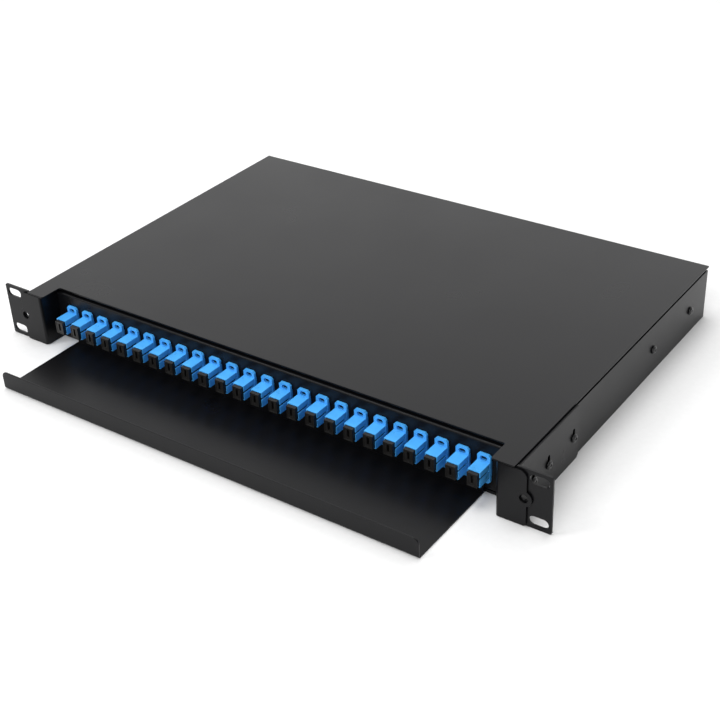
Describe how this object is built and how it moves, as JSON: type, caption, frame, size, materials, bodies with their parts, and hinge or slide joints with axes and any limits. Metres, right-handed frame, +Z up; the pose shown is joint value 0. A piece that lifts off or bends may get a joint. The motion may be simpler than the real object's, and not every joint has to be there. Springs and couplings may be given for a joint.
{
  "type": "fiber termination box",
  "caption": "Rack-mount steel enclosure with a sliding drawer: a row of fibre adapters behind a lipped cable tray, slotted ears and rear cable glands.",
  "frame": {"origin": "centre of the base of the whole box, on the surface that it stands on", "axes": "+X to the right seen from the front, +Y to the back, +Z up"},
  "size_m": [0.4826, 0.3876, 0.044],
  "materials": {
    "black_powder_coat": "fine satin powder coat, charcoal black",
    "black_screw": "black zinc, satin",
    "zinc_steel": "bright zinc plate",
    "gland_nylon": "moulded black nylon",
    "adapter_blue": "moulded blue plastic, satin",
    "dust_cap_black": "soft black moulding",
    "tray_plastic": "moulded black plastic",
    "holder_plastic": "moulded white plastic",
    "lid_clear": "clear polycarbonate"
  },
  "bodies": {
    "enclosure": {"case_shell": "black_powder_coat", "top_cover": "black_powder_coat", "rack_ear_right": "black_powder_coat", "rack_ear_left": "black_powder_coat", "ear_screw_1_right": "black_screw", "ear_screw_1_left": "black_screw", "ear_screw_2_right": "black_screw", "ear_screw_2_left": "black_screw", "ear_screw_3_right": "black_screw", "ear_screw_3_left": "black_screw", "slide_screw_1_right": "black_screw", "slide_screw_1_left": "black_screw", "slide_screw_2_right": "black_screw", "slide_screw_2_left": "black_screw", "cover_screw_right": "black_screw", "cover_screw_left": "black_screw", "slide_outer_right": "zinc_steel", "slide_outer_left": "zinc_steel", "gland_body_right": "gland_nylon", "gland_body_left": "gland_nylon", "gland_nut_right": "gland_nylon", "gland_nut_left": "gland_nylon", "gland_locknut_right": "gland_nylon", "gland_locknut_left": "gland_nylon"},
    "drawer": {"drawer_chassis": "black_powder_coat", "adapter_panel": "black_powder_coat", "front_tray": "black_powder_coat", "adapter_01": "adapter_blue", "adapter_02": "adapter_blue", "adapter_03": "adapter_blue", "adapter_04": "adapter_blue", "adapter_05": "adapter_blue", "adapter_06": "adapter_blue", "adapter_07": "adapter_blue", "adapter_08": "adapter_blue", "adapter_09": "adapter_blue", "adapter_10": "adapter_blue", "adapter_11": "adapter_blue", "adapter_12": "adapter_blue", "adapter_13": "adapter_blue", "adapter_14": "adapter_blue", "adapter_15": "adapter_blue", "adapter_16": "adapter_blue", "adapter_17": "adapter_blue", "adapter_18": "adapter_blue", "adapter_19": "adapter_blue", "adapter_20": "adapter_blue", "adapter_21": "adapter_blue", "adapter_22": "adapter_blue", "adapter_23": "adapter_blue", "adapter_24": "adapter_blue", "splice_tray": "tray_plastic", "splice_holder": "holder_plastic", "splice_tray_lid": "lid_clear", "cable_clamp_right": "zinc_steel", "cable_clamp_left": "zinc_steel", "slide_inner_right": "zinc_steel", "slide_inner_left": "zinc_steel"},
    "slide_middle_left": {"slide_middle_left": "zinc_steel"},
    "slide_middle_right": {"slide_middle_right": "zinc_steel"}
  },
  "joints": [
    {"name": "drawer_slide", "type": "slide", "parent": "enclosure", "child": "drawer", "axis": [0, -1, 0], "range_m": [0, 0.25]},
    {"name": "slide_middle_left_travel", "type": "slide", "parent": "enclosure", "child": "slide_middle_left", "axis": [0, -1, 0], "range_m": [0, 0.125]},
    {"name": "slide_middle_right_travel", "type": "slide", "parent": "enclosure", "child": "slide_middle_right", "axis": [0, -1, 0], "range_m": [0, 0.125]}
  ],
  "couplings": [
    {"joint": "slide_middle_left_travel", "follows": "drawer_slide", "ratio": 0.5},
    {"joint": "slide_middle_right_travel", "follows": "drawer_slide", "ratio": 0.5}
  ]
}
